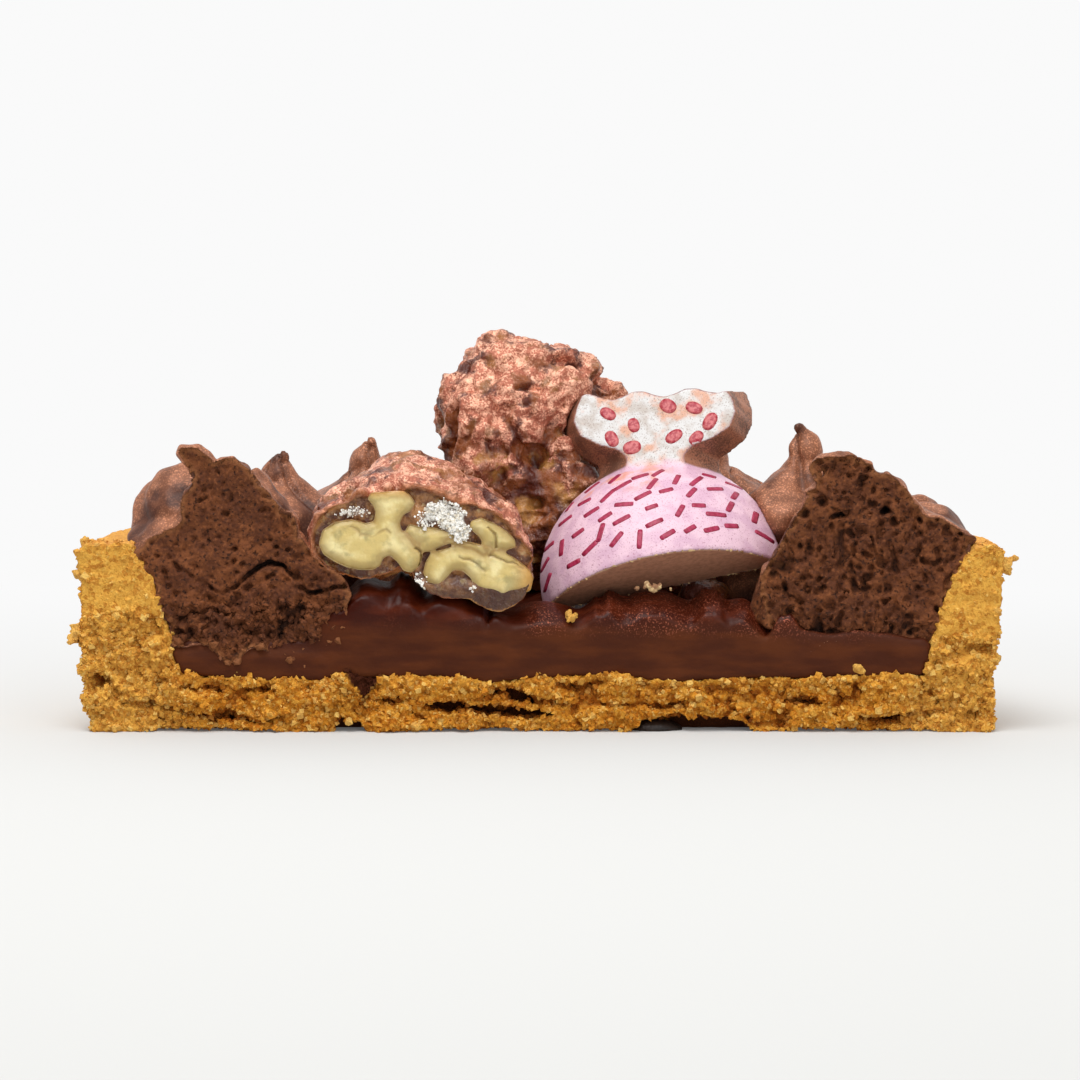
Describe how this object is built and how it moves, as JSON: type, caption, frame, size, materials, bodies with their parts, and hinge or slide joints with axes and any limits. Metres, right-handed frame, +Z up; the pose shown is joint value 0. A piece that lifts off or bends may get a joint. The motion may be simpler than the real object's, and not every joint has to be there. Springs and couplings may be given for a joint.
{
  "type": "halved praline tart",
  "caption": "Half of a round praline tart as cut, with a shortcrust shell, ganache, piped whipped peaks, candied nuts and a moulded chocolate sweet on top.",
  "frame": {"origin": "middle of the half tart's underside: half way across the cut, half way from the cut to the back of the rim", "axes": "+X to the right along the cut as it is seen from the cut side, +Y from the cut towards the back of the rim, +Z up"},
  "size_m": [0.1, 0.05, 0.0418],
  "materials": {
    "shortcrust": "crumbly golden shortcrust, matt",
    "praline_ganache": "smooth dark ganache, glossy on top and silky where cut",
    "whipped_ganache": "whipped chocolate ganache with fine pores and a dusting of copper lustre",
    "candy_coat": "craggy caramelised sugar with copper lustre",
    "nut_kernel": "pale creamy nut, satin where cut",
    "printed_chocolate": "pink and white coloured cocoa butter over milk chocolate, satin",
    "dark_chocolate": "dark chocolate, satin"
  },
  "bodies": {
    "root": {"pastry_shell": "shortcrust", "praline_ganache": "praline_ganache", "whipped_peak_1": "whipped_ganache", "whipped_peak_2": "whipped_ganache", "whipped_peak_3": "whipped_ganache", "whipped_peak_4": "whipped_ganache", "whipped_peak_5": "whipped_ganache", "whipped_peak_6": "whipped_ganache", "whipped_peak_7": "whipped_ganache", "whipped_peak_8": "whipped_ganache", "cut_nut_candy_coat": "candy_coat", "cut_nut_kernel": "nut_kernel", "whole_candied_nut": "candy_coat", "candied_nut_fragment": "candy_coat", "moulded_sweet": "printed_chocolate", "chocolate_dab": "dark_chocolate"}
  },
  "joints": []
}
